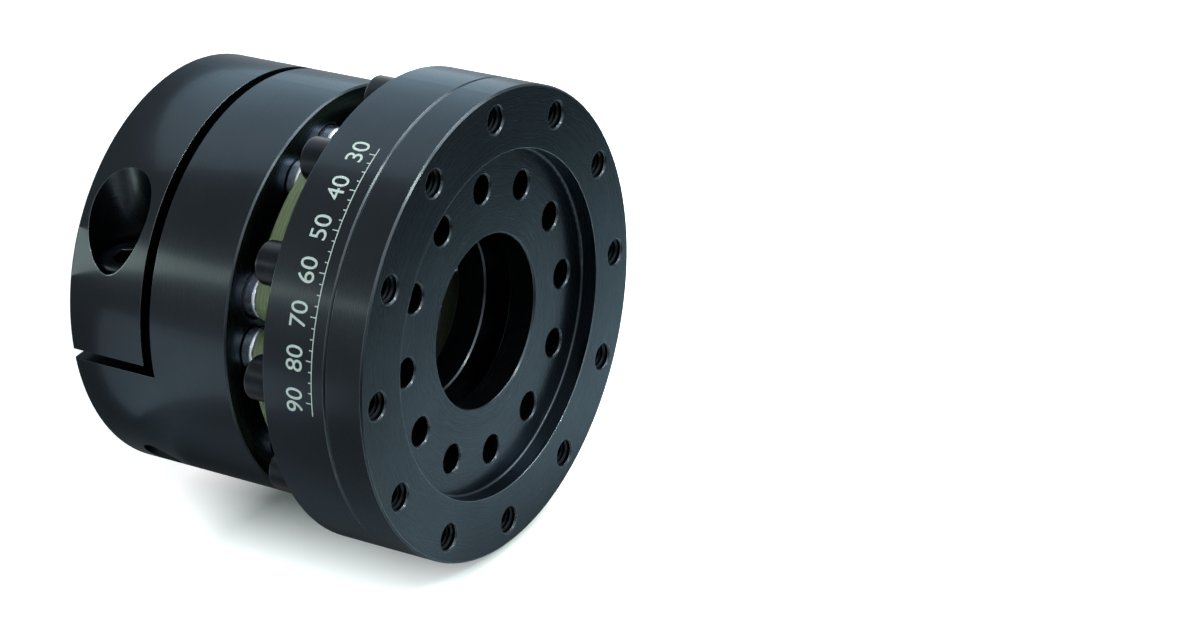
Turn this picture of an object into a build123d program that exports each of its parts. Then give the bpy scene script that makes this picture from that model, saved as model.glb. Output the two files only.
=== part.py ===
from build123d import *

import os
from math import asin, degrees

# Disc coupling: a clamp hub and a flange adapter joined by six composite flex links.
#
# The coupling stands on the rear face of its hub, with the shaft axis along +Z.
# The origin is the centre of that face. All lengths are in millimetres, all angles in degrees.

# ---------------------------------------------------------------- driving dimensions

# Flange adapter: front plate and adapter ring
flange_diameter = 108.5
flange_screw_count = 12
flange_screw_inset = 5.85
plate_thickness = 9.5
plate_bore = 40.0
recess_diameter = 80.0
recess_depth = 4.2
spigot_height = 1.8
gearbox_circle_diameter = 63.0
gearbox_screw_count = 12
gearbox_screw_hole = 6.6
ring_width = 16.3
ring_bore = 41.0
web_thickness = 7.8
rim_width = 11.05

# Flex links: open composite arms, each held by one screw on the ring and one on the hub
link_count = 6
link_width = 10.8
link_waist = 9.4
link_thickness = 8.0
link_start_angle = -91.2

# Steel collars clamping the links
collar_diameter = 10.4
seat_collar_height = 3.2
head_collar_height = 5.0
collar_round = 1.0
collar_gap = 1.69
head_gap = 0.6

# Clamp hub
hub_length = 43.6
hub_wall = 5.0
shaft_bore = 42.0
bore_relief = 0.5
jaw_length = 20.2
slot_width = 2.7
slit_width = 2.5
clamp_angle = 7.3
clamp_screw_inset = 12.1
clamp_screw_seat = 13.0
clamp_counterbore = 15.5

# Edges
edge_chamfer = 0.4
lead_in_chamfer = 0.9
bore_chamfer = 0.35
hole_chamfer = 0.35
foot_radius = 0.6

# Clearances
thread_clearance = 0.05
screw_clearance = 0.3
collar_clearance = 0.3
spigot_clearance = 0.05
head_room = 3.5
thread_run_out = 1.2

# Socket head cap screws: thread, length, head diameter, head height, key size, key depth
flange_screw = dict(thread=6.0, length=22.0, head=10.0, height=6.0, key=5.0, socket=3.0)
link_screw = dict(thread=5.0, length=24.0, head=8.5, height=5.0, key=4.0, socket=2.5)
clamp_screw = dict(thread=8.0, length=35.0, head=13.0, height=8.0, key=6.0, socket=4.0)

# ---------------------------------------------------------------- heights, circles and angles

hub_front = hub_length
link_bottom = hub_front + seat_collar_height
link_top = link_bottom + link_thickness
ring_back = link_top + seat_collar_height
ring_front = ring_back + ring_width
web_front = ring_back + web_thickness
plate_front = ring_front + plate_thickness

flange_circle_diameter = flange_diameter - 2 * flange_screw_inset
cup_diameter = flange_diameter - 2 * rim_width
spigot_diameter = cup_diameter - 2 * spigot_clearance
collar_to_head = (collar_diameter + flange_screw["head"]) / 2 + head_gap
link_circle_diameter = flange_circle_diameter - 2 * collar_to_head
collar_hole = collar_diameter + 2 * collar_clearance
hub_diameter = link_circle_diameter + collar_hole + 2 * hub_wall
clamp_screw_offset = hub_diameter / 2 - clamp_screw_inset

link_pitch = 360 / link_count
station_gap = 2 * degrees(asin((collar_diameter + collar_gap) / link_circle_diameter))
link_span = link_pitch - station_gap
hub_station = link_start_angle
ring_station = link_start_angle + link_span
clamp_frame = Plane.XY.rotated((0, 0, clamp_angle))

# ---------------------------------------------------------------- fits

pocket_depth = head_collar_height - seat_collar_height + link_screw["height"] + head_room
link_screw_grip = head_collar_height + link_thickness + seat_collar_height
hub_thread_depth = link_screw["length"] - link_screw_grip + thread_run_out
same_size = 0.01


def tapped(screw):
    """Radius of the tapped hole that takes a screw."""
    return screw["thread"] / 2 + thread_clearance


def clearance(screw):
    """Radius of the plain hole that lets a screw through."""
    return screw["thread"] / 2 + screw_clearance


def rims(body, diameter):
    """Round edges of a body that have a given diameter."""
    circles = body.edges().filter_by(GeomType.CIRCLE)
    return circles.filter_by(lambda edge: abs(edge.radius - diameter / 2) < same_size)


def save(part, name):
    """Name a finished piece and write its file."""
    part.label = name
    export_step(part, f"parts/{name}.step")


# ---------------------------------------------------------------- fasteners and collars


def cap_screw(seat, screw):
    """Socket head cap screw whose head stands on the seat plane and points along its normal."""
    along = Axis(seat.origin, seat.z_dir)
    with BuildPart(seat) as body:
        Cylinder(screw["thread"] / 2, screw["length"], align=(Align.CENTER, Align.CENTER, Align.MAX))
        chamfer(body.edges().sort_by(along)[0], screw["thread"] / 10)
        Cylinder(screw["head"] / 2, screw["height"], align=(Align.CENTER, Align.CENTER, Align.MIN))
        chamfer(body.edges().sort_by(along)[-1], screw["head"] / 20)
        with BuildSketch(seat.offset(screw["height"])):
            RegularPolygon(screw["key"] / 2, 6, major_radius=False)
        extrude(amount=-screw["socket"], mode=Mode.SUBTRACT)
    return body.part


def collar(seat, height):
    """Steel collar that stands on a link, with a rounded edge on the link and a chamfered far edge."""
    along = Axis(seat.origin, seat.z_dir)
    with BuildPart(seat) as body:
        Cylinder(collar_diameter / 2, height, align=(Align.CENTER, Align.CENTER, Align.MIN))
        fillet(body.edges().sort_by(along)[0], collar_round)
        chamfer(body.edges().sort_by(along)[-1], hole_chamfer)
        Hole(clearance(link_screw))
    return body.part


def stations(start):
    """Points where the links are screwed down, one for each link."""
    first = Vector(link_circle_diameter / 2, 0)
    return [first.rotate(Axis.Z, start + n * link_pitch) for n in range(link_count)]


def seat_at(point, height, up):
    """Plane at a height over a point, facing up or down."""
    return Plane((point.X, point.Y, height), z_dir=(0, 0, 1 if up else -1))


def collars(points, link_face, height, up):
    """Set of equal collars on one face of the links."""
    return Compound([collar(seat_at(point, link_face, up), height) for point in points])


# ---------------------------------------------------------------- clamp hub


def make_hub():
    """Round hub with a split clamping jaw at its rear and pockets for the links in its front."""
    jaw_side = clamp_frame.x_dir
    screw_middle = clamp_frame.from_local_coords((hub_diameter / 2, clamp_screw_offset, jaw_length / 2))
    with BuildPart() as hub:
        Cylinder(hub_diameter / 2, hub_length, align=(Align.CENTER, Align.CENTER, Align.MIN))
        chamfer(hub.edges().filter_by(GeomType.CIRCLE), edge_chamfer)
        with Locations((0, 0, hub_front)):
            CounterBoreHole(shaft_bore / 2, shaft_bore / 2 + bore_relief, hub_length - jaw_length)
        chamfer(rims(hub, shaft_bore).sort_by(Axis.Z)[0], lead_in_chamfer)
        chamfer(rims(hub, shaft_bore + 2 * bore_relief).sort_by(Axis.Z)[-1], lead_in_chamfer)

        # Front face: tapped holes for the links that it carries, pockets for the other screws' heads
        with Locations((0, 0, hub_front)):
            with PolarLocations(link_circle_diameter / 2, link_count, start_angle=hub_station):
                CounterSinkHole(
                    tapped(link_screw),
                    tapped(link_screw) + hole_chamfer,
                    depth=hub_thread_depth,
                    counter_sink_angle=90,
                )
            with PolarLocations(link_circle_diameter / 2, link_count, start_angle=ring_station):
                CounterSinkHole(
                    collar_hole / 2,
                    collar_hole / 2 + hole_chamfer,
                    depth=pocket_depth,
                    counter_sink_angle=90,
                )

        # Slot that frees the jaw, down to the plane of the slit
        with BuildSketch(clamp_frame.offset(jaw_length)):
            with Locations((-slit_width / 2, 0)):
                Rectangle(hub_diameter, 2 * hub_diameter, align=(Align.MIN, Align.CENTER))
        extrude(amount=slot_width, mode=Mode.SUBTRACT)

        # Slit that lets the jaw close on the shaft
        with BuildSketch(clamp_frame):
            Rectangle(slit_width, hub_diameter, align=(Align.CENTER, Align.MIN))
        extrude(amount=jaw_length + slot_width, mode=Mode.SUBTRACT)

        # Counterbored clamp screw hole across the slit
        with Locations(Plane(screw_middle, z_dir=jaw_side)):
            Hole(tapped(clamp_screw))
            CounterBoreHole(
                clearance(clamp_screw),
                clamp_counterbore / 2,
                hub_diameter / 2 - clamp_screw_seat,
                depth=hub_diameter / 2,
            )
    return hub.part


# ---------------------------------------------------------------- flex links


def make_link(turn):
    """Composite arm from a screw on the ring to the next screw on the hub."""
    plane = Plane.XY.offset(link_bottom).rotated((0, 0, turn))
    half = link_span / 2
    middle = Vector(link_circle_diameter / 2, 0)
    outer = (link_circle_diameter + link_width) / 2
    with BuildPart(plane) as link:
        with BuildSketch(plane) as outline:
            with BuildLine():
                CenterArc((0, 0), outer, -half, link_span)
                head = CenterArc(middle.rotate(Axis.Z, half), link_width / 2, half, 180)
                tail = CenterArc(middle.rotate(Axis.Z, -half), link_width / 2, -half, -180)
                ThreePointArc(head @ 1, (outer - link_waist, 0), tail @ 1)
            make_face()
            fillet(outline.vertices().sort_by_distance((0, 0, link_bottom))[:2], link_width / 4)
        extrude(amount=link_thickness)
        chamfer(link.faces().filter_by(Axis.Z).edges(), hole_chamfer)
        with Locations((0, 0, link_thickness)):
            with PolarLocations(middle.X, 2, start_angle=-half, angular_range=link_span, endpoint=True):
                Hole(clearance(link_screw))
    return link.part


# ---------------------------------------------------------------- adapter ring and front plate


def make_ring():
    """Cup-shaped ring: a rim for the flange screws and a web that carries the links."""
    with BuildPart(Plane.XY.offset(ring_back)) as ring:
        Cylinder(flange_diameter / 2, ring_width, align=(Align.CENTER, Align.CENTER, Align.MIN))
        chamfer(ring.edges().filter_by(GeomType.CIRCLE), edge_chamfer)
        with BuildSketch(Plane.XY.offset(web_front)):
            Circle(cup_diameter / 2)
        extrude(amount=ring_width - web_thickness, mode=Mode.SUBTRACT)
        fillet(rims(ring, cup_diameter).sort_by(Axis.Z)[0], foot_radius)
        with Locations((0, 0, ring_width)):
            Hole(ring_bore / 2)
        chamfer(rims(ring, ring_bore), bore_chamfer)
        with Locations((0, 0, ring_width)):
            with PolarLocations(flange_circle_diameter / 2, flange_screw_count):
                Hole(clearance(flange_screw))
        with Locations((0, 0, web_thickness)):
            with PolarLocations(link_circle_diameter / 2, link_count, start_angle=ring_station):
                CounterSinkHole(
                    tapped(link_screw),
                    tapped(link_screw) + hole_chamfer,
                    counter_sink_angle=90,
                )
            with PolarLocations(link_circle_diameter / 2, link_count, start_angle=hub_station):
                Hole(collar_hole / 2)
    return ring.part


def make_plate():
    """Front plate: a pilot recess with a screw circle for the gearbox, and a spigot that centres the ring."""
    with BuildPart(Plane.XY.offset(ring_front)) as plate:
        Cylinder(flange_diameter / 2, plate_thickness, align=(Align.CENTER, Align.CENTER, Align.MIN))
        chamfer(plate.edges().filter_by(GeomType.CIRCLE), edge_chamfer)
        Cylinder(spigot_diameter / 2, spigot_height, align=(Align.CENTER, Align.CENTER, Align.MAX))
        chamfer(rims(plate, spigot_diameter).sort_by(Axis.Z)[0], hole_chamfer)
        with BuildSketch(Plane.XY.offset(plate_front)):
            Circle(recess_diameter / 2)
        extrude(amount=-recess_depth, mode=Mode.SUBTRACT)
        fillet(rims(plate, recess_diameter).sort_by(Axis.Z)[0], foot_radius)
        with Locations((0, 0, plate_thickness)):
            Hole(plate_bore / 2)
        chamfer(rims(plate, plate_bore), bore_chamfer)
        with Locations((0, 0, plate_thickness)):
            with PolarLocations(flange_circle_diameter / 2, flange_screw_count):
                CounterSinkHole(
                    tapped(flange_screw),
                    tapped(flange_screw) + hole_chamfer,
                    counter_sink_angle=90,
                )
        with Locations((0, 0, plate_thickness - recess_depth)):
            with PolarLocations(gearbox_circle_diameter / 2, gearbox_screw_count):
                CounterSinkHole(
                    gearbox_screw_hole / 2,
                    gearbox_screw_hole / 2 + hole_chamfer,
                    counter_sink_angle=90,
                )
    return plate.part


# ---------------------------------------------------------------- assembly

os.makedirs("parts", exist_ok=True)

save(make_hub(), "clamp_hub")
clamp_seat = clamp_frame.from_local_coords((clamp_screw_seat, clamp_screw_offset, jaw_length / 2))
save(cap_screw(Plane(clamp_seat, z_dir=clamp_frame.x_dir), clamp_screw), "clamp_screw")

for n in range(link_count):
    save(make_link(link_start_angle + link_span / 2 + n * link_pitch), f"flex_link_{n + 1}")

ring_points = stations(ring_station)
hub_points = stations(hub_station)
for n in range(link_count):
    ring_seat = seat_at(ring_points[n], link_bottom - head_collar_height, up=False)
    save(cap_screw(ring_seat, link_screw), f"ring_link_screw_{n + 1}")
    hub_seat = seat_at(hub_points[n], link_top + head_collar_height, up=True)
    save(cap_screw(hub_seat, link_screw), f"hub_link_screw_{n + 1}")

save(collars(ring_points, link_top, seat_collar_height, up=True), "ring_seat_collars")
save(collars(ring_points, link_bottom, head_collar_height, up=False), "ring_head_collars")
save(collars(hub_points, link_bottom, seat_collar_height, up=False), "hub_seat_collars")
save(collars(hub_points, link_top, head_collar_height, up=True), "hub_head_collars")

save(make_ring(), "adapter_ring")
save(make_plate(), "front_plate")

for n in range(flange_screw_count):
    point = Vector(flange_circle_diameter / 2, 0).rotate(Axis.Z, n * 360 / flange_screw_count)
    save(cap_screw(seat_at(point, ring_back, up=False), flange_screw), f"flange_screw_{n + 1}")
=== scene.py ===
from math import ceil, cos, radians, sin, sqrt, tan, tau

import bpy
from mathutils import Matrix, Vector


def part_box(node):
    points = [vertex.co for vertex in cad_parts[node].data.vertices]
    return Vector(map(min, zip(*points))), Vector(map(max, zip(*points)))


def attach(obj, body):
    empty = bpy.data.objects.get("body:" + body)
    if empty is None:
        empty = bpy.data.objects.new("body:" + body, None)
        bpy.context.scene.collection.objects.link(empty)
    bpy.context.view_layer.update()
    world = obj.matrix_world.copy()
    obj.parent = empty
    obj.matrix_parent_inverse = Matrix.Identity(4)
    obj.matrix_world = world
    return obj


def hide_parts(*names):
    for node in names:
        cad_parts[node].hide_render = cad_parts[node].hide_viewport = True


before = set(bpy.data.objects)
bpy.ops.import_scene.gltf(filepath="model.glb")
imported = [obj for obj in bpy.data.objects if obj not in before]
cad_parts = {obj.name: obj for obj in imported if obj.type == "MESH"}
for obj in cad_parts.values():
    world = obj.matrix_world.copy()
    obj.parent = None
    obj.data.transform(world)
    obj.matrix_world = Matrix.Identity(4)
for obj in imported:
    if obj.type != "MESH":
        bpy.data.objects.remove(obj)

bl_info = {
    "name": "Disc coupling",
    "version": (1, 0, 0),
    "blender": (4, 5, 0),
    "location": "3D View > Sidebar > Coupling",
    "description": "Dresses the disc coupling: turned anodised parts, threaded screws, laminated links",
    "category": "Object",
}

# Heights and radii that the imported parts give, in metres
MM = 0.001
HUB_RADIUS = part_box("clamp_hub")[1].x
RING_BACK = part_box("adapter_ring")[0].z
PLATE_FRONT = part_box("front_plate")[1].z
FLANGE_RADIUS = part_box("front_plate")[1].x

# Socket head cap screws, in millimetres: thread, pitch, length, head diameter and height, key size and the
# depth of the socket
SCREWS = {
    "flange": dict(thread=6, pitch=1.0, length=22, head=10, height=6, key=5, socket=3.0),
    "link": dict(thread=5, pitch=0.8, length=24, head=8.5, height=5, key=4, socket=2.5),
    "clamp": dict(thread=8, pitch=1.25, length=35, head=13, height=8, key=6, socket=4.0),
}

# Depths of a metric thread and of its nut, as shares of the pitch, and the steps that draw one turn
SCREW_THREAD_DEPTH = 0.61
HOLE_THREAD_DEPTH = 0.55
THREAD_STEPS = 36

# Socket of a cap screw: its coned mouth as a share of the hexagon's corners, and the rim and depth of its
# drilled bottom as shares of the key size
SOCKET_MOUTH = 1.06
BOTTOM_RIM = 0.12
BOTTOM_DEPTH = 0.18

LINKS = 6
FLANGE_SCREWS = 12

# The clamp screw lies across the slit: its turn about the axis, how far the seat of its head stands off the
# slit, how far in from the hub's rim it runs, and its height
CLAMP_TURN = radians(7.3)
CLAMP_SEAT = 13.0 * MM
CLAMP_INSET = 12.1 * MM
CLAMP_HEIGHT = 10.1 * MM

# The printed line runs round this stretch of the ring, in degrees, with marks and figures between its ends
SCALE_FIRST = 28
SCALE_LAST = 93
MARK_FIRST = 30
MARK_LAST = 90
MARK_STEP = 2.5
FIGURE_STEP = 10

# A short mark as a share of a long one, and how far the figures' middle lies below the marks, as a share of
# their type size
SHORT_MARK = 0.55
FIGURE_DROP = 0.47

# Directions of the view, in the coupling's own frame, its camera's place in metres and lens in millimetres
VIEW_RIGHT = Vector((-0.0179, -0.5184, 0.8550))
VIEW_UP = Vector((0.9163, -0.3507, -0.1935))
VIEW_BACK = Vector((0.4002, 0.7799, 0.4813))
CAMERA_PLACE = Vector((0.2782, 0.5293, 0.4358))
CAMERA_LENS = 93.72

# The backdrop passes just clear of the coupling, leaning back from the view's upward direction. Its middle
# lies ahead of the coupling, so that it ends a little way below the floor.
BACKDROP_LEAN = radians(28)
BACKDROP_CLEAR = 0.5 * MM
BACKDROP_AHEAD = 0.6
BACKDROP_SIDE = 1.6
FLOOR_SIDE = 6.0

# Width of the painted shadow beside the flange, where the card's white glow dips over the lamps' real
# shadow, how much of that width is gone at the floor's level, and the height over the floor from which the
# painted shadow is whole
SHADOW_WIDTH = 14 * MM
SHADOW_GONE = 12 * MM
SHADOW_WHOLE = 24 * MM

# Sizes of what each finish shows. Grit, mottle and strands are coarser than real ones, so that they show.
DYE_CLOUD = 22.2 * MM
ETCHED_GRIT = 0.4 * MM
INK_WEAR = 1.11 * MM
STEEL_STAIN = 3.85 * MM
OXIDE_MOTTLE = 0.714 * MM
OXIDE_CLOUD = 5 * MM
PLY_WANDER = 11.1 * MM
STRAND_LENGTH = 3.85 * MM
STRAND_WIDTH = 0.385 * MM
CLOTH_PITCH = 0.8 * MM


def linear(code):
    """sRGB hex colour as the linear values that shaders take."""
    parts = [int(code[i : i + 2], 16) / 255 for i in (0, 2, 4)]
    return tuple(c / 12.92 if c <= 0.04045 else ((c + 0.055) / 1.055) ** 2.4 for c in parts)


# ---------------------------------------------------------------- sizes and colours a user may change


def size(label, note, value, low=0.0):
    """Length that a user may change."""
    return bpy.props.FloatProperty(
        name=label, description=note, default=value, min=low, unit="LENGTH", precision=5
    )


def colour(label, note, code):
    """Colour that a user may change, given as sRGB hex."""
    return bpy.props.FloatVectorProperty(
        name=label, description=note, default=linear(code), subtype="COLOR", min=0.0, max=1.0
    )


class CouplingSizes(bpy.types.PropertyGroup):
    """Sizes of the details"""

    feed: size("Turning feed", "Spacing of the fine lathe rings", 0.32 * MM, 0.01 * MM)
    edge: size("Edge radius", "Rounding that the eye sees on sharp machined edges", 0.2 * MM, 0.01 * MM)
    ply: size("Ply", "Thickness of one layer of the links' laminate", 0.9 * MM, 0.05 * MM)
    head_round: size("Head rounding", "Radius round the top of a screw's head", 0.9 * MM, 0.05 * MM)
    line_height: size("Line height", "Height of the printed line over the standing face", 71.0 * MM)
    line_width: size("Line width", "Width of the printed line and marks", 0.22 * MM, 0.05 * MM)
    mark_length: size("Mark length", "Length of the long marks of the scale", 1.5 * MM, 0.2 * MM)
    figure_height: size("Figure height", "Type size of the scale's numbers", 6.0 * MM, 0.5 * MM)
    ink: size("Ink", "How far the print stands proud", 0.02 * MM, 0.005 * MM)


class CouplingColours(bpy.types.PropertyGroup):
    """Colours of the finishes"""

    anodising: colour("Anodising", "Tint of the black anodised aluminium, seen square on", "2d343a")
    glance: colour("Glance", "Tint of the anodising seen at a glancing angle", "d3e2ec")
    worn_edge: colour("Edge", "Tint of the anodised edges, which are thinner and brighter", "9aa8b0")
    print_ink: colour("Ink", "Printed line and scale on the ring", "a3b1ad")
    black_oxide: colour("Black oxide", "Tint of the flange and clamp screws", "24292e")
    plated: colour("Plated steel", "Tint of the collars and link screws", "d2d9e6")
    resin: colour("Resin", "Light plies of the glass fibre laminate", "71815f")
    fibre: colour("Fibre", "Darker plies of the glass fibre laminate", "535f40")
    floor: colour("Floor", "Floor and backdrop", "deeaeb")


def sizes():
    return bpy.context.scene.coupling_sizes


def colours():
    return bpy.context.scene.coupling_colours


# ---------------------------------------------------------------- modelling by hand


def start(name, add_primitive, **settings):
    """Add a primitive with nothing else selected."""
    bpy.ops.object.select_all(action="DESELECT")
    add_primitive(**settings)
    bpy.context.object.name = name
    bpy.context.object.data.name = name
    return bpy.context.object


def edit(item):
    """Take a piece into edit mode with all of it selected."""
    bpy.ops.object.select_all(action="DESELECT")
    item.select_set(True)
    bpy.context.view_layer.objects.active = item
    bpy.ops.object.mode_set(mode="EDIT")
    bpy.ops.mesh.select_all(action="SELECT")


def done():
    """Leave edit mode."""
    bpy.ops.object.mode_set(mode="OBJECT")


def finish(item, kind, **settings):
    """Add a modifier with its settings and apply it."""
    bpy.ops.object.select_all(action="DESELECT")
    item.select_set(True)
    bpy.context.view_layer.objects.active = item
    modifier = item.modifiers.new(kind.lower(), kind)
    for name, value in settings.items():
        setattr(modifier, name, value)
    bpy.ops.object.modifier_apply(modifier=modifier.name)


def drawn(name, points, closed=False):
    """Outline drawn by extruding one point along places given as radius and height, in millimetres."""
    item = start(name, bpy.ops.mesh.primitive_plane_add, size=MM)
    edit(item)
    bpy.ops.mesh.merge(type="CENTER")
    last = Vector((0, 0))
    for count, point in enumerate(points):
        step = (Vector(point) - last) * MM
        move = {"value": (step.x, 0, step.y)}
        if count == 0:
            bpy.ops.transform.translate(**move)
        else:
            bpy.ops.mesh.extrude_region_move(TRANSFORM_OT_translate=move)
        last = Vector(point)
    if closed:
        bpy.ops.mesh.select_all(action="SELECT")
        bpy.ops.mesh.remove_doubles(threshold=0.001 * MM)
    done()
    return item


def turned(name, points, steps, rise=0.0, turns=1, closed=False):
    """Piece turned about Z from an outline, or wound round Z where each turn rises."""
    item = drawn(name, points, closed)
    finish(
        item,
        "SCREW",
        screw_offset=rise * MM,
        iterations=turns,
        steps=steps,
        render_steps=steps,
        use_merge_vertices=True,
        merge_threshold=0.001 * MM,
    )
    edit(item)
    bpy.ops.mesh.remove_doubles(threshold=0.001 * MM)
    bpy.ops.mesh.normals_make_consistent(inside=False)
    done()
    return item


def arc(middle, radius, first, last, steps):
    """Points round a corner of an outline, both ends included."""
    turns = [radians(first + (last - first) * n / steps) for n in range(steps + 1)]
    return [(middle[0] + radius * cos(turn), middle[1] + radius * sin(turn)) for turn in turns]


def remove(item):
    bpy.data.objects.remove(item)


def combine(item, other, how):
    """Cut, join or clip a piece with another, which is used up."""
    finish(item, "BOOLEAN", object=other, operation=how, solver="EXACT")
    remove(other)


def cut_ends(item, low, high):
    """Cut a piece level at two heights in millimetres, and close the cuts."""
    for height, clear in ((low, "clear_inner"), (high, "clear_outer")):
        edit(item)
        plane = {"plane_co": (0, 0, height * MM), "plane_no": (0, 0, 1), "threshold": 1e-7}
        bpy.ops.mesh.bisect(**plane, use_fill=True, **{clear: True})
        done()


def smooth(item):
    """Shade smooth across all edges but the sharp ones."""
    bpy.ops.object.select_all(action="DESELECT")
    item.select_set(True)
    bpy.context.view_layer.objects.active = item
    bpy.ops.object.shade_smooth_by_angle(angle=radians(35))


def tidy_shell(item):
    """Merge what touches and point every face outwards."""
    edit(item)
    bpy.ops.mesh.remove_doubles(threshold=0.0005 * MM)
    bpy.ops.mesh.normals_make_consistent(inside=False)
    done()


def placed(item, name, place):
    """Copy of a piece with a mesh of its own, moved to its place for good."""
    bpy.ops.object.select_all(action="DESELECT")
    copy = item.copy()
    copy.data = item.data.copy()
    copy.name = name
    copy.data.name = name
    bpy.context.scene.collection.objects.link(copy)
    copy.select_set(True)
    bpy.context.view_layer.objects.active = copy
    copy.matrix_world = place
    bpy.ops.object.transform_apply(location=True, rotation=True, scale=True)
    return copy


def fasten(item, material, slot, *nodes):
    """Give a piece its finish and fix it to the coupling, in place of the nodes that it stands for."""
    item.data.materials.clear()
    item.data.materials.append(material)
    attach(item, "root")
    if nodes:
        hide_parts(*nodes)


# ---------------------------------------------------------------- screws


def thread(name, screw):
    """Full thread with flat crests and roots, cut level at its head and coned at its tip."""
    crest, pitch, length = screw["thread"] / 2, screw["pitch"], screw["length"]
    root = crest - SCREW_THREAD_DEPTH * pitch
    into_head = 0.3
    tooth = [(root, 0), (root, pitch / 8), (crest, pitch * 7 / 16)]
    tooth += [(crest, pitch * 9 / 16), (root, pitch * 7 / 8)]
    turns = ceil((length + into_head) / pitch) + 2
    rod = turned(name, [*tooth, (root, pitch)], THREAD_STEPS, rise=pitch, turns=turns)
    edit(rod)
    bpy.ops.transform.translate(value=(0, 0, -(length + 1.5 * pitch) * MM))
    done()
    cut_ends(rod, -length, into_head)

    # Clip the tip with a cone as long as one turn
    slack = 0.1
    tip = [(0, -length - 1), (root - slack, -length - 1), (root - slack, -length)]
    tip += [(crest + slack, pitch - length), (crest + slack, 1), (0, 1)]
    cap = turned(name + "_tip", tip, THREAD_STEPS)
    combine(rod, cap, "INTERSECT")
    return rod


def cap_head(name, screw):
    """Round head with a rounded rim, a coned mouth and a hexagon socket with a drilled bottom."""
    radius, height, key = screw["head"] / 2, screw["height"], screw["key"]
    rim = sizes().head_round / MM
    foot = 0.25
    corner = key / sqrt(3)
    mouth = corner * SOCKET_MOUTH
    outline = [(0, 0), (radius - foot, 0), (radius, foot)]
    outline += arc((radius - rim, height - rim), rim, 0, 90, 8)
    outline += [(mouth, height), (0, height - mouth * tan(radians(30)))]
    head = turned(name, outline, 2 * THREAD_STEPS)
    socket = start(
        name + "_socket",
        bpy.ops.mesh.primitive_cylinder_add,
        vertices=6,
        radius=corner * MM,
        depth=(screw["socket"] + 1) * MM,
        location=(0, 0, (height + (1 - screw["socket"]) / 2) * MM),
    )
    edit(socket)
    bpy.ops.mesh.select_all(action="DESELECT")
    done()
    for face in socket.data.polygons:
        face.select = face.normal.z < -0.9
    bpy.ops.object.mode_set(mode="EDIT")
    bpy.ops.mesh.inset(thickness=key * BOTTOM_RIM * MM)
    drill = {"value": (0, 0, -key * BOTTOM_DEPTH * MM)}
    bpy.ops.mesh.extrude_region_move(TRANSFORM_OT_translate=drill)
    bpy.ops.mesh.merge(type="CENTER")
    done()
    combine(head, socket, "DIFFERENCE")
    return head


def cap_screw(kind):
    """Socket head cap screw with its seat at the origin, its head up and its thread down."""
    screw = SCREWS[kind]
    body = cap_head(f"{kind}_screw_pattern", screw)
    combine(body, thread(f"{kind}_thread", screw), "UNION")
    tidy_shell(body)
    smooth(body)
    return body


def upright(node, kind, head_up):
    """Place of a screw whose axis is vertical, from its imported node's box."""
    low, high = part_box(node)
    height = SCREWS[kind]["height"] * MM
    seat = high.z - height if head_up else low.z + height
    turn = Matrix.Identity(4) if head_up else Matrix.Rotation(radians(180), 4, "X")
    return Matrix.Translation(((low.x + high.x) / 2, (low.y + high.y) / 2, seat)) @ turn


def inner_thread(name):
    """Coil of thread crests in the wall of a tapped hole of the front plate, closed at both ends."""
    screw = SCREWS["flange"]
    into_wall = 0.08
    pitch, wall = screw["pitch"], screw["thread"] / 2 + into_wall
    crest = wall - HOLE_THREAD_DEPTH * pitch
    tooth = [(wall, 0), (crest, pitch * 3 / 8), (crest, pitch / 2), (wall, pitch * 7 / 8), (wall, 0)]
    coil = turned(name, tooth, THREAD_STEPS, rise=pitch, turns=2, closed=True)
    edit(coil)
    bpy.ops.mesh.select_all(action="DESELECT")
    bpy.ops.mesh.select_mode(type="EDGE")
    bpy.ops.mesh.select_non_manifold()
    bpy.ops.mesh.fill_holes(sides=4)
    bpy.ops.mesh.select_mode(type="VERT")
    bpy.ops.mesh.select_all(action="SELECT")
    bpy.ops.mesh.normals_make_consistent(inside=False)
    done()
    smooth(coil)
    return coil


# ---------------------------------------------------------------- printed scale


def flat_mark(name, along, height, width, length):
    """Flat bar of the scale, laid out with the way round the ring along X and the height along Z."""
    place = {"location": (along, 0, height), "rotation": (radians(90), 0, 0)}
    mark = start(name, bpy.ops.mesh.primitive_plane_add, size=1.0, **place)
    mark.scale = (width, length, 1)
    return mark


def flat_figure(name, words, along, height):
    """Number of the scale as a flat mesh, its top towards the hub."""
    upside_down = (radians(-90), 0, radians(180))
    text = start(name, bpy.ops.object.text_add, location=(along, 0, height), rotation=upside_down)
    text.data.body = words
    text.data.align_x = "CENTER"
    text.data.align_y = "CENTER"
    text.data.size = sizes().figure_height
    text.data.resolution_u = 6
    bpy.ops.object.convert(target="MESH")
    return bpy.context.object


# ---------------------------------------------------------------- materials


def add(tree, kind, inputs=None, **settings):
    """Node with its settings, and a value or link on each named input."""
    made = tree.nodes.new("ShaderNode" + kind)
    for name, value in settings.items():
        setattr(made, name, value)
    for name, value in (inputs or {}).items():
        if isinstance(value, bpy.types.NodeSocket):
            tree.links.new(value, made.inputs[name])
        else:
            made.inputs[name].default_value = value
    return made


def rgba(values):
    return (*values[:3], 1.0)


def fresh(name):
    """New material with an empty tree, and its surface output."""
    made = bpy.data.materials.new(name)
    made.use_nodes = True
    made.node_tree.nodes.clear()
    return made, made.node_tree, made.node_tree.nodes.new("ShaderNodeOutputMaterial")


def edge_wear(tree, radius, samples):
    """Normal that rounds sharp edges over, and how far it agrees with the true one: 1 away from edges."""
    rounded = add(tree, "Bevel", {"Radius": radius}, samples=samples).outputs[0]
    true = add(tree, "NewGeometry").outputs["Normal"]
    agree = add(tree, "VectorMath", {0: rounded, 1: true}, operation="DOT_PRODUCT").outputs["Value"]
    return rounded, agree


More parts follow.
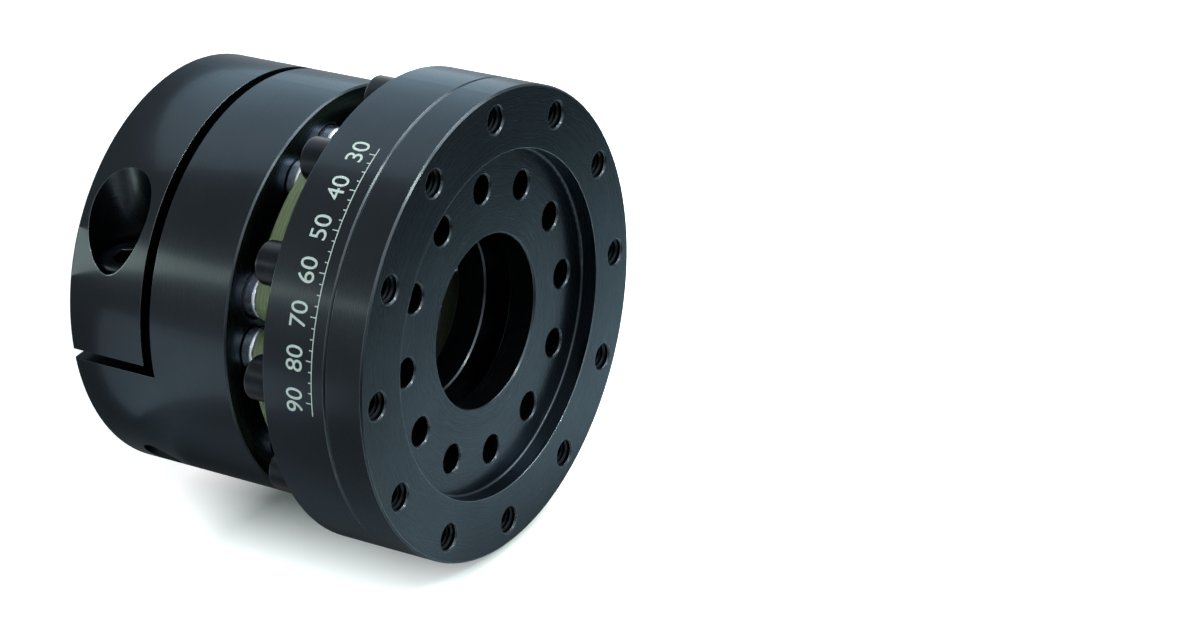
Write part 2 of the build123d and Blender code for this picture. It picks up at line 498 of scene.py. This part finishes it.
def black_anodised(name, roughness, edges=1.0, depth=1.0):
    """Turned aluminium, hard anodised black.

    Dark satin metal with fine lathe rings on walls and faces, a faint clouding from the dye bath, a sharper
    shine from the clear sealed layer on top, and thinner, brighter anodising where edges are rounded over.
    The rings are about twice as wide as a real feed, so that they show. Edges says how bright the edges
    are, and depth how many times darker the tint is than on an open wall, which paints shade into a surface
    deep in a hole.
    """
    made, tree, out = fresh(name)
    place = add(tree, "TexCoord").outputs["Object"]
    parts = add(tree, "SeparateXYZ", {"Vector": place}).outputs
    flat = add(tree, "CombineXYZ", {"X": parts["X"], "Y": parts["Y"]}).outputs[0]
    radius = add(tree, "VectorMath", {0: flat}, operation="LENGTH").outputs["Value"]
    along = add(tree, "Math", {0: radius, 1: parts["Z"]}, operation="ADD").outputs[0]
    turning = {"W": along, "Scale": 1 / sizes().feed, "Detail": 2.0}
    rings = add(tree, "TexNoise", turning, noise_dimensions="1D").outputs[0]
    cloud = add(tree, "TexNoise", {"Vector": place, "Scale": 1 / DYE_CLOUD, "Detail": 3.0}).outputs[0]
    grit = add(tree, "TexNoise", {"Vector": place, "Scale": 1 / ETCHED_GRIT, "Detail": 1.0}).outputs[0]
    # Depth divides the tint: painted shade for surfaces deep in a hole
    shade = add(tree, "MapRange", {0: cloud, 1: 0.3, 2: 0.7, 3: 0.86 / depth, 4: 1.14 / depth}).outputs[0]
    base = add(tree, "VectorMath", {0: colours().anodising, "Scale": shade}, operation="SCALE").outputs[0]
    rounded, agree = edge_wear(tree, sizes().edge, samples=6)
    edge = add(tree, "MapRange", {0: agree, 1: 0.75, 2: 0.99, 3: edges, 4: 0.0}).outputs[0]
    tint = add(tree, "Mix", {0: edge, 6: base, 7: rgba(colours().worn_edge)}, data_type="RGBA").outputs[2]

    wall = {0: rings, 1: 0.3, 2: 0.7, 3: roughness - 0.02, 4: roughness + 0.03}
    wall_rough = add(tree, "MapRange", wall).outputs[0]
    rough = add(tree, "Mix", {0: edge, 2: wall_rough, 3: 0.16}, data_type="FLOAT").outputs[0]
    height = add(tree, "Math", {0: grit, 1: 0.5, 2: rings}, operation="MULTIPLY_ADD").outputs[0]
    bump = {"Height": height, "Distance": 0.004 * MM, "Strength": 0.09, "Normal": rounded}
    surface = add(
        tree,
        "BsdfPrincipled",
        {
            "Base Color": tint,
            "Metallic": 1.0,
            "Roughness": rough,
            "Specular Tint": rgba(colours().glance),
            "Coat Weight": 0.11,
            "Coat Roughness": 0.12,
            "Normal": add(tree, "Bump", bump).outputs[0],
        },
    )
    tree.links.new(surface.outputs[0], out.inputs["Surface"])
    return made


def screen_ink(name):
    """Screen-printed epoxy ink: thin, matt and pale, with the metal showing through where it is worn."""
    made, tree, out = fresh(name)
    place = add(tree, "TexCoord").outputs["Object"]
    worn = add(tree, "TexNoise", {"Vector": place, "Scale": 1 / INK_WEAR, "Detail": 5.0}).outputs[0]
    wear = add(tree, "MapRange", {0: worn, 1: 0.55, 2: 0.7, 3: 0.0, 4: 0.35}).outputs[0]
    ends = {0: wear, 6: rgba(colours().print_ink), 7: rgba(colours().worn_edge)}
    tint = add(tree, "Mix", ends, data_type="RGBA").outputs[2]
    relief = add(tree, "Bump", {"Height": worn, "Distance": 0.005 * MM, "Strength": 0.5}).outputs[0]
    surface = add(tree, "BsdfPrincipled", {"Base Color": tint, "Roughness": 0.6, "Normal": relief})
    tree.links.new(surface.outputs[0], out.inputs["Surface"])
    return made


def turned_steel(name, tint, roughness, feed):
    """Steel turned on a lathe: rings across the axis, wide enough to show, faint stains, a clean shine."""
    made, tree, out = fresh(name)
    place = add(tree, "TexCoord").outputs["Object"]
    height = add(tree, "SeparateXYZ", {"Vector": place}).outputs["Z"]
    turning = {"W": height, "Scale": 1 / feed, "Detail": 2.0}
    rings = add(tree, "TexNoise", turning, noise_dimensions="1D").outputs[0]
    cloud = add(tree, "TexNoise", {"Vector": place, "Scale": 1 / STEEL_STAIN, "Detail": 4.0}).outputs[0]
    shade = add(tree, "MapRange", {0: cloud, 1: 0.3, 2: 0.7, 3: 0.82, 4: 1.1}).outputs[0]
    base = add(tree, "VectorMath", {0: tint, "Scale": shade}, operation="SCALE").outputs[0]
    blotches = {0: cloud, 1: 0.3, 2: 0.7, 3: roughness - 0.05, 4: roughness + 0.08}
    rough = add(tree, "MapRange", blotches).outputs[0]
    relief = add(tree, "Bump", {"Height": rings, "Distance": 0.006 * MM, "Strength": 0.5}).outputs[0]
    skin = {"Base Color": base, "Metallic": 1.0, "Roughness": rough, "Normal": relief}
    surface = add(tree, "BsdfPrincipled", skin)
    tree.links.new(surface.outputs[0], out.inputs["Surface"])
    return made


def black_oxide_steel(name):
    """Forged alloy steel, blacked and oiled: a dark satin skin with fine mottling and rubbed edges."""
    made, tree, out = fresh(name)
    place = add(tree, "TexCoord").outputs["Object"]
    mottle = add(tree, "TexNoise", {"Vector": place, "Scale": 1 / OXIDE_MOTTLE, "Detail": 4.0}).outputs[0]
    cloud = add(tree, "TexNoise", {"Vector": place, "Scale": 1 / OXIDE_CLOUD, "Detail": 2.0}).outputs[0]
    shade = add(tree, "MapRange", {0: cloud, 1: 0.3, 2: 0.7, 3: 0.85, 4: 1.15}).outputs[0]
    base = add(tree, "VectorMath", {0: colours().black_oxide, "Scale": shade}, operation="SCALE").outputs[0]
    rounded, agree = edge_wear(tree, 0.12 * MM, samples=4)
    rubbed = add(tree, "MapRange", {0: agree, 1: 0.7, 2: 0.98, 3: 0.8, 4: 0.0}).outputs[0]
    tint = add(tree, "Mix", {0: rubbed, 6: base, 7: rgba(colours().plated)}, data_type="RGBA").outputs[2]
    rough = add(tree, "MapRange", {0: mottle, 1: 0.3, 2: 0.7, 3: 0.3, 4: 0.42}).outputs[0]
    bump = {"Height": mottle, "Distance": 0.008 * MM, "Strength": 0.5, "Normal": rounded}
    relief = add(tree, "Bump", bump).outputs[0]
    skin = {"Base Color": tint, "Metallic": 1.0, "Roughness": rough, "Normal": relief}
    surface = add(tree, "BsdfPrincipled", skin)
    tree.links.new(surface.outputs[0], out.inputs["Surface"])
    return made


def glass_laminate(name):
    """Glass fibre laminate with sawn edges.

    Level plies seen edge on, drawn as a few coarse ones so that they show, woven cloth on the faces, and a
    dull resin shine.
    """
    made, tree, out = fresh(name)
    place = add(tree, "TexCoord").outputs["Object"]
    parts = add(tree, "SeparateXYZ", {"Vector": place}).outputs
    wander = add(tree, "TexNoise", {"Vector": place, "Scale": 1 / PLY_WANDER, "Detail": 2.0}).outputs[0]
    level = add(tree, "Math", {0: wander, 1: 0.5 * MM, 2: parts["Z"]}, operation="MULTIPLY_ADD").outputs[0]
    turn = add(tree, "Math", {0: level, 1: tau / sizes().ply}, operation="MULTIPLY").outputs[0]
    plies = add(tree, "Math", {0: turn}, operation="SINE").outputs[0]
    lying = (1 / STRAND_LENGTH, 1 / STRAND_LENGTH, 1 / STRAND_WIDTH)
    streak = add(tree, "Mapping", {"Vector": place, "Scale": lying}).outputs[0]
    strands = add(tree, "TexNoise", {"Vector": streak, "Scale": 1.0, "Detail": 3.0}).outputs[0]
    strong = add(tree, "Math", {0: strands, 1: 1.1, 2: -0.05}, operation="MULTIPLY_ADD").outputs[0]
    blend = add(tree, "Math", {0: plies, 1: 0.22, 2: strong}, operation="MULTIPLY_ADD").outputs[0]
    ends = {0: blend, 6: rgba(colours().fibre), 7: rgba(colours().resin)}
    tint = add(tree, "Mix", ends, data_type="RGBA", clamp_factor=True).outputs[2]
    across = add(tree, "Math", {0: parts["X"], 1: tau / CLOTH_PITCH}, operation="MULTIPLY").outputs[0]
    warp = add(tree, "Math", {0: across}, operation="SINE").outputs[0]
    down = add(tree, "Math", {0: parts["Y"], 1: tau / CLOTH_PITCH}, operation="MULTIPLY").outputs[0]
    weft = add(tree, "Math", {0: down}, operation="SINE").outputs[0]
    cloth = add(tree, "Math", {0: warp, 1: weft}, operation="MULTIPLY").outputs[0]
    height = add(tree, "Math", {0: cloth, 1: 0.4, 2: strands}, operation="MULTIPLY_ADD").outputs[0]
    relief = add(tree, "Bump", {"Height": height, "Distance": 0.03 * MM, "Strength": 0.6}).outputs[0]
    surface = add(tree, "BsdfPrincipled", {"Base Color": tint, "Roughness": 0.5, "Normal": relief})
    tree.links.new(surface.outputs[0], out.inputs["Surface"])
    return made


def coat(node, material):
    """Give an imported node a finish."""
    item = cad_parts[node]
    item.data.materials.clear()
    item.data.materials.append(material)


# ---------------------------------------------------------------- operators


class COUPLING_OT_body(bpy.types.Operator):
    """Finish the hub, ring and plate in black anodising"""

    bl_idname = "coupling.body"
    bl_label = "Hub, ring and plate"

    def execute(self, context):
        coat("clamp_hub", black_anodised("black_anodised_hub", 0.29, edges=0.35))
        coat("adapter_ring", black_anodised("black_anodised_ring", 0.29))
        plate = black_anodised("black_anodised_plate", 0.28)
        coat("front_plate", plate)

        # Thread crests in the tapped holes, from each screw's tip to the chamfer at the face
        # The crests' tint is three times darker: painted shade of the deep tapped holes
        tapped = black_anodised("black_anodised_thread_painted_shade", 0.4, edges=0.0, depth=3.0)
        past_tip = 0.1 * MM
        coil = inner_thread("flange_hole_thread")
        for n in range(FLANGE_SCREWS):
            low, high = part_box(f"flange_screw_{n + 1}")
            middle = ((low.x + high.x) / 2, (low.y + high.y) / 2, high.z + past_tip)
            crests = placed(coil, f"flange_hole_thread_{n + 1}", Matrix.Translation(middle))
            fasten(crests, tapped, "black_anodised_plate")
        remove(coil)
        return {"FINISHED"}


class COUPLING_OT_links(bpy.types.Operator):
    """Finish the six composite links"""

    bl_idname = "coupling.links"
    bl_label = "Flex links"

    def execute(self, context):
        laminate = glass_laminate("glass_fibre_laminate")
        for n in range(LINKS):
            coat(f"flex_link_{n + 1}", laminate)
        return {"FINISHED"}


class COUPLING_OT_collars(bpy.types.Operator):
    """Finish the steel collars"""

    bl_idname = "coupling.collars"
    bl_label = "Collars"

    def execute(self, context):
        steel = turned_steel("turned_plated_steel", colours().plated, 0.26, 0.25 * MM)
        for name in ("ring_seat_collars", "ring_head_collars", "hub_seat_collars", "hub_head_collars"):
            coat(name, steel)
        return {"FINISHED"}


class COUPLING_OT_screws(bpy.types.Operator):
    """Model the socket head cap screws once each and put them in their places"""

    bl_idname = "coupling.screws"
    bl_label = "Screws"

    def execute(self, context):
        black = black_oxide_steel("black_oxide_steel")
        bright = turned_steel("plated_screw_steel", colours().plated, 0.3, 0.3 * MM)

        flange = cap_screw("flange")
        for n in range(FLANGE_SCREWS):
            node = f"flange_screw_{n + 1}"
            screw = placed(flange, f"flange_cap_screw_{n + 1}", upright(node, "flange", head_up=False))
            fasten(screw, black, "black_steel_screws", node)
        remove(flange)

        link = cap_screw("link")
        for n in range(LINKS):
            for side, head_up in (("ring", False), ("hub", True)):
                node = f"{side}_link_screw_{n + 1}"
                screw = placed(link, f"{side}_link_cap_screw_{n + 1}", upright(node, "link", head_up))
                fasten(screw, bright, "plated_steel_screws", node)
        remove(link)

        clamp = cap_screw("clamp")
        turn = Matrix.Rotation(CLAMP_TURN, 4, "Z")
        seat = Matrix.Translation((CLAMP_SEAT, HUB_RADIUS - CLAMP_INSET, CLAMP_HEIGHT))
        lie_down = Matrix.Rotation(radians(90), 4, "Y")
        screw = placed(clamp, "clamp_cap_screw", turn @ seat @ lie_down)
        fasten(screw, black, "black_steel_screws", "clamp_screw")
        remove(clamp)
        return {"FINISHED"}


class COUPLING_OT_scale(bpy.types.Operator):
    """Print a plain line and an angle scale round one stretch of the ring"""

    bl_idname = "coupling.scale"
    bl_label = "Printed scale"

    def execute(self, context):
        line, width, long = sizes().line_height, sizes().line_width, sizes().mark_length
        figures = line - long - sizes().figure_height * FIGURE_DROP
        degree = FLANGE_RADIUS * radians(1)
        middle, span = (SCALE_FIRST + SCALE_LAST) / 2 * degree, (SCALE_LAST - SCALE_FIRST) * degree
        marks = [flat_mark("line", middle, line, span, width)]
        for n in range(int((MARK_LAST - MARK_FIRST) / MARK_STEP) + 1):
            angle = MARK_FIRST + n * MARK_STEP
            reach = long if angle % FIGURE_STEP == 0 else long * SHORT_MARK
            marks.append(flat_mark(f"mark_{n}", angle * degree, line - reach / 2, width, reach))
        for angle in range(MARK_FIRST, MARK_LAST + 1, FIGURE_STEP):
            marks.append(flat_figure(f"figure_{angle}", str(angle), angle * degree, figures))

        bpy.ops.object.select_all(action="DESELECT")
        for mark in marks:
            mark.select_set(True)
        bpy.context.view_layer.objects.active = marks[0]
        bpy.ops.object.join()
        scale = bpy.context.object
        scale.name = "printed_scale"
        scale.data.name = "printed_scale"
        bpy.ops.object.transform_apply(location=True, rotation=True, scale=True)

        # Cut the flat scale across once a degree, so that it can follow the ring
        edit(scale)
        for n in range(SCALE_FIRST, SCALE_LAST):
            bpy.ops.mesh.select_all(action="SELECT")
            bpy.ops.mesh.bisect(plane_co=(n * degree, 0, 0), plane_no=(1, 0, 0), threshold=1e-7)
        done()

        # Give the ink its thickness, half of it proud, bend it to the ring and turn it to its stretch
        finish(scale, "SOLIDIFY", thickness=2 * sizes().ink, offset=0.0)
        bend = scale.dimensions.x / FLANGE_RADIUS
        finish(scale, "SIMPLE_DEFORM", deform_method="BEND", deform_axis="Z", angle=bend)
        to_axis = Matrix.Translation((0, -FLANGE_RADIUS, 0))
        scale.matrix_world = Matrix.Rotation(radians(90), 4, "Z") @ to_axis
        bpy.ops.object.transform_apply(location=True, rotation=True, scale=True)
        edit(scale)
        bpy.ops.mesh.normals_make_consistent(inside=False)
        done()
        fasten(scale, screen_ink("screen_printed_ink"), "black_anodised_ring")
        return {"FINISHED"}


# ---------------------------------------------------------------- stage


def look(right, up, back, place):
    """Placement that has its own X, Y and Z along three directions."""
    turn = Matrix((right, up, back)).transposed().to_4x4()
    return Matrix.Translation(place) @ turn


def area_lamp(name, width, height, watts, tint, place):
    """Rectangular lamp at a placement."""
    lamp = bpy.data.lights.new(name, "AREA")
    lamp.shape = "RECTANGLE"
    lamp.size, lamp.size_y, lamp.energy, lamp.color = width, height, watts, tint
    item = bpy.data.objects.new(name, lamp)
    bpy.context.scene.collection.objects.link(item)
    item.matrix_world = place
    return item


def softbox(name, direction, distance, width, height, watts, tint=(1.0, 1.0, 1.0)):
    """Lamp that faces the coupling from a direction given as right, up and back of the view."""
    toward = (VIEW_RIGHT * direction[0] + VIEW_UP * direction[1] + VIEW_BACK * direction[2]).normalized()
    side = VIEW_RIGHT - toward * VIEW_RIGHT.dot(toward)
    side = side.normalized() if side.length > 0.1 else VIEW_UP.cross(toward).normalized()
    target = Vector((0, 0, 0.045))
    place = look(side, toward.cross(side), toward, target + toward * distance)
    area_lamp(name, width, height, watts, tint, place)


def light_panel(name, place, turn, length, width, watts, tint):
    """Flat lamp that lies on the floor and shines up, seen in the metal alone and not by the camera."""
    along = Vector((cos(radians(turn)), sin(radians(turn)), 0))
    down = Vector((0, 0, -1))
    flat = look(along, down.cross(along), down, Vector((*place, 0.5 * MM)))
    area_lamp(name, length, width, watts, tint, flat).visible_camera = False


def card_seen_directly(tree, parts, beside):
    """Glow that the camera sees: white, down to a narrow painted shadow beside the flange, over the lamps'
    real shadow.

    The painted shadow pales towards the floor's level, where the backdrop meets the floor.
    """
    beyond = add(tree, "Math", {0: parts["Z"], 1: PLATE_FRONT}, operation="SUBTRACT").outputs[0]
    beyond = add(tree, "Math", {0: beyond, 1: 0.0}, operation="MAXIMUM").outputs[0]
    off = add(tree, "CombineXYZ", {"X": beside, "Y": beyond}).outputs[0]
    away = add(tree, "VectorMath", {0: off}, operation="LENGTH").outputs["Value"]
    paling = {0: parts["Z"], 1: 0.0, 2: SHADOW_WHOLE, 3: SHADOW_GONE, 4: 0.0}
    gone = add(tree, "MapRange", paling).outputs[0]
    away = add(tree, "Math", {0: gone, 1: away}, operation="ADD").outputs[0]
    return add(tree, "MapRange", {0: away, 1: 0.0, 2: SHADOW_WIDTH, 3: 0.05, 4: 1.0}).outputs[0]


def card_seen_in_metal(tree, parts, beside, past_foot):
    """Painted light that the metal shows on the card, and its painted pool beside the flange, from 0 to 1.

    The painted pool starts at the foot and dies away along the backdrop. Behind the foot the glow is
    painted dark under the coupling, as shade, and painted bright farther out, and the floor is painted
    bright on its upper side.
    """
    rise = add(tree, "MapRange", {0: past_foot, 1: 10 * MM, 2: 50 * MM, 3: 0.0, 4: 1.0}).outputs[0]
    fall = add(tree, "MapRange", {0: past_foot, 1: 35 * MM, 2: 150 * MM, 3: 1.0, 4: 0.05}).outputs[0]
    pool = add(tree, "Math", {0: rise, 1: fall}, operation="MULTIPLY").outputs[0]
    level = add(tree, "Math", {0: parts["Z"], 1: MM}, operation="LESS_THAN").outputs[0]

    lit = add(tree, "MapRange", {0: beside, 1: 6 * MM, 2: 20 * MM, 3: 0.0, 4: 0.32}).outputs[0]
    behind = add(tree, "Math", {0: 1.0, 1: rise}, operation="SUBTRACT").outputs[0]
    lower_side = add(tree, "Math", {0: lit, 1: behind}, operation="MULTIPLY").outputs[0]
    upper = add(tree, "MapRange", {0: parts["X"], 1: -30 * MM, 2: 20 * MM, 3: 0.0, 4: 0.4}).outputs[0]
    upper_side = add(tree, "Math", {0: upper, 1: level}, operation="MULTIPLY").outputs[0]
    sides = add(tree, "Math", {0: lower_side, 1: upper_side}, operation="MAXIMUM").outputs[0]
    on_level = add(tree, "Math", {0: level, 1: 0.1, 2: 0.06}, operation="MULTIPLY_ADD").outputs[0]
    around = add(tree, "Math", {0: sides, 1: on_level}, operation="ADD").outputs[0]
    return add(tree, "Math", {0: pool, 1: 0.5, 2: around}, operation="MULTIPLY_ADD").outputs[0], pool


def pale_card(name, foot, side):
    """Matt studio card, open from behind.

    It glows white to the eye, and near the foot on which the coupling seems to lie the glow dips into a
    painted shadow over the lamps' real shadow. The metal shows it darker, and so stays black, and brightest
    in a painted pool of light beside the flange.
    """
    made, tree, out = fresh(name)
    geometry = add(tree, "NewGeometry").outputs
    parts = add(tree, "SeparateXYZ", {"Vector": geometry["Position"]}).outputs
    flat = add(tree, "CombineXYZ", {"X": parts["X"], "Y": parts["Y"]}).outputs[0]
    radius = add(tree, "VectorMath", {0: flat}, operation="LENGTH").outputs["Value"]
    beside = add(tree, "Math", {0: radius, 1: FLANGE_RADIUS}, operation="SUBTRACT").outputs[0]
    beside = add(tree, "Math", {0: beside, 1: 0.0}, operation="MAXIMUM").outputs[0]
    along = add(tree, "VectorMath", {0: geometry["Position"], 1: side}, operation="DOT_PRODUCT")
    from_foot = {0: along.outputs["Value"], 1: foot.dot(side)}
    past_foot = add(tree, "Math", from_foot, operation="SUBTRACT").outputs[0]

    rays = add(tree, "LightPath").outputs
    bounced = {0: rays["Is Glossy Ray"], 1: rays["Is Transmission Ray"]}
    mirrored = add(tree, "Math", bounced, operation="MAXIMUM").outputs[0]
    # The camera sees a white glow that dips into a painted shadow beside the flange
    white = card_seen_directly(tree, parts, beside)
    # The metal sees a painted glow on the card, brightest in a painted pool of light
    in_metal, pool = card_seen_in_metal(tree, parts, beside, past_foot)
    direct = add(tree, "Math", {0: rays["Is Camera Ray"], 1: white}, operation="MULTIPLY").outputs[0]
    light = {0: mirrored, 1: in_metal, 2: direct}
    strength = add(tree, "Math", light, operation="MULTIPLY_ADD").outputs[0]
    glow = add(tree, "Emission", {"Color": (1, 1, 1, 1), "Strength": strength}).outputs[0]

    # Painted shade: outside the painted pool, the card's colour is taken away for mirror rays, so that the
    # metal sees nothing of the lamps' own light on the card
    beside_pool = add(tree, "Math", {0: 1.0, 1: pool}, operation="SUBTRACT").outputs[0]
    dimmed = add(tree, "Math", {0: mirrored, 1: beside_pool}, operation="MULTIPLY").outputs[0]
    kept = add(tree, "Math", {0: 1.0, 1: dimmed}, operation="SUBTRACT").outputs[0]
    tint = add(tree, "VectorMath", {0: colours().floor, "Scale": kept}, operation="SCALE").outputs[0]
    card = add(tree, "BsdfDiffuse", {"Color": tint, "Roughness": 0.6}).outputs[0]
    both = add(tree, "AddShader", {0: card, 1: glow}).outputs[0]
    clear = add(tree, "BsdfTransparent").outputs[0]
    surface = add(tree, "MixShader", {0: geometry["Backfacing"], 1: both, 2: clear}).outputs[0]
    tree.links.new(surface, out.inputs["Surface"])
    return made


class COUPLING_OT_stage(bpy.types.Operator):
    """Add the floor, the backdrop, the lamps, the world and the camera"""

    bl_idname = "coupling.stage"
    bl_label = "Stage"

    def execute(self, context):
        # Backdrop beside the coupling, on the side that the view shows as underneath
        upward = (VIEW_UP * cos(BACKDROP_LEAN) + VIEW_BACK * sin(BACKDROP_LEAN)).normalized()
        side = (Vector((0, 0, 1)) - upward * upward.z).normalized()
        out = Vector((upward.x, upward.y, 0)).normalized()
        low = Vector((0, 0, RING_BACK)) - out * FLANGE_RADIUS
        card = pale_card("studio_card", low, side)
        floor = start("floor", bpy.ops.mesh.primitive_plane_add, size=FLOOR_SIDE)
        floor.data.materials.append(card)
        wall = start("backdrop", bpy.ops.mesh.primitive_plane_add, size=BACKDROP_SIDE)
        middle = low - upward * BACKDROP_CLEAR + side * BACKDROP_AHEAD
        wall.matrix_world = look(side, upward.cross(side), upward, middle)
        wall.data.materials.append(card)

        # Soft light from the front and above, a small lamp that glints on the chamfers, and panels on the
        # floor for the shine of the upper walls, the streak along the hub and the sheen below it
        softbox("front_fill", (0.5, 0.35, 1.0), 0.9, width=0.7, height=0.7, watts=3.0)
        softbox("key", (0.5, 0.85, 0.2), 0.7, width=0.4, height=0.4, watts=4.0)
        warm, cool = (0.95, 1.0, 0.86), (0.86, 0.96, 1.0)
        softbox("edge_glint", (0.64, 0.46, 0.62), 0.9, width=0.15, height=0.15, watts=2.5, tint=warm)
        light_panel("top_panel", (0.128, -0.055), 0, length=0.148, width=0.19, watts=0.11, tint=cool)
        warmer = (0.95, 0.98, 0.8)
        light_panel("side_strip", (0.052, 0.13), 68, length=0.2, width=0.011, watts=0.024, tint=warmer)
        light_panel("low_panel", (-0.034, 0.105), 108, length=0.11, width=0.045, watts=0.012, tint=cool)

        # World that is white to the eye and in mirrors, and lights all else softly
        soft = 0.4
        world = bpy.data.worlds.new("studio")
        context.scene.world = world
        world.use_nodes = True
        tree = world.node_tree
        tree.nodes.clear()
        rays = add(tree, "LightPath").outputs
        bounced = {0: rays["Is Glossy Ray"], 1: rays["Is Transmission Ray"]}
        mirrored = add(tree, "Math", bounced, operation="MAXIMUM").outputs[0]
        white = {0: rays["Is Camera Ray"], 1: mirrored}
        seen = add(tree, "Math", white, operation="MAXIMUM").outputs[0]
        strength = add(tree, "Math", {0: seen, 1: 1 - soft, 2: soft}, operation="MULTIPLY_ADD").outputs[0]
        glow = add(tree, "Background", {"Color": (1, 1, 1, 1), "Strength": strength})
        tree.links.new(glow.outputs[0], add(tree, "OutputWorld").inputs["Surface"])

        lens = bpy.data.cameras.new("camera")
        lens.sensor_width = 36.0
        lens.lens = CAMERA_LENS
        lens.clip_start, lens.clip_end = 0.01, 20.0
        camera = bpy.data.objects.new("camera", lens)
        context.scene.collection.objects.link(camera)
        camera.matrix_world = look(VIEW_RIGHT, VIEW_UP, VIEW_BACK, CAMERA_PLACE)
        context.scene.camera = camera
        context.scene.view_settings.view_transform = "Standard"
        return {"FINISHED"}


class COUPLING_PT_panel(bpy.types.Panel):
    """Steps, sizes and colours of the coupling in the sidebar"""

    bl_idname = "COUPLING_PT_panel"
    bl_label = "Disc coupling"
    bl_space_type = "VIEW_3D"
    bl_region_type = "UI"
    bl_category = "Coupling"

    def draw(self, context):
        for step in STEPS:
            self.layout.operator(step.bl_idname)
        for group in (sizes(), colours()):
            box = self.layout.box()
            for name in group.__annotations__:
                box.prop(group, name)


STEPS = (
    COUPLING_OT_body,
    COUPLING_OT_links,
    COUPLING_OT_collars,
    COUPLING_OT_screws,
    COUPLING_OT_scale,
    COUPLING_OT_stage,
)
CLASSES = (CouplingSizes, CouplingColours, *STEPS, COUPLING_PT_panel)


def register():
    for item in CLASSES:
        bpy.utils.register_class(item)
    bpy.types.Scene.coupling_sizes = bpy.props.PointerProperty(type=CouplingSizes)
    bpy.types.Scene.coupling_colours = bpy.props.PointerProperty(type=CouplingColours)


def unregister():
    del bpy.types.Scene.coupling_colours
    del bpy.types.Scene.coupling_sizes
    for item in reversed(CLASSES):
        bpy.utils.unregister_class(item)


def main():
    register()
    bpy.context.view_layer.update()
    bpy.ops.coupling.body()
    bpy.ops.coupling.links()
    bpy.ops.coupling.collars()
    bpy.ops.coupling.screws()
    bpy.ops.coupling.scale()
    bpy.ops.coupling.stage()


if __name__ == "__main__":
    main()
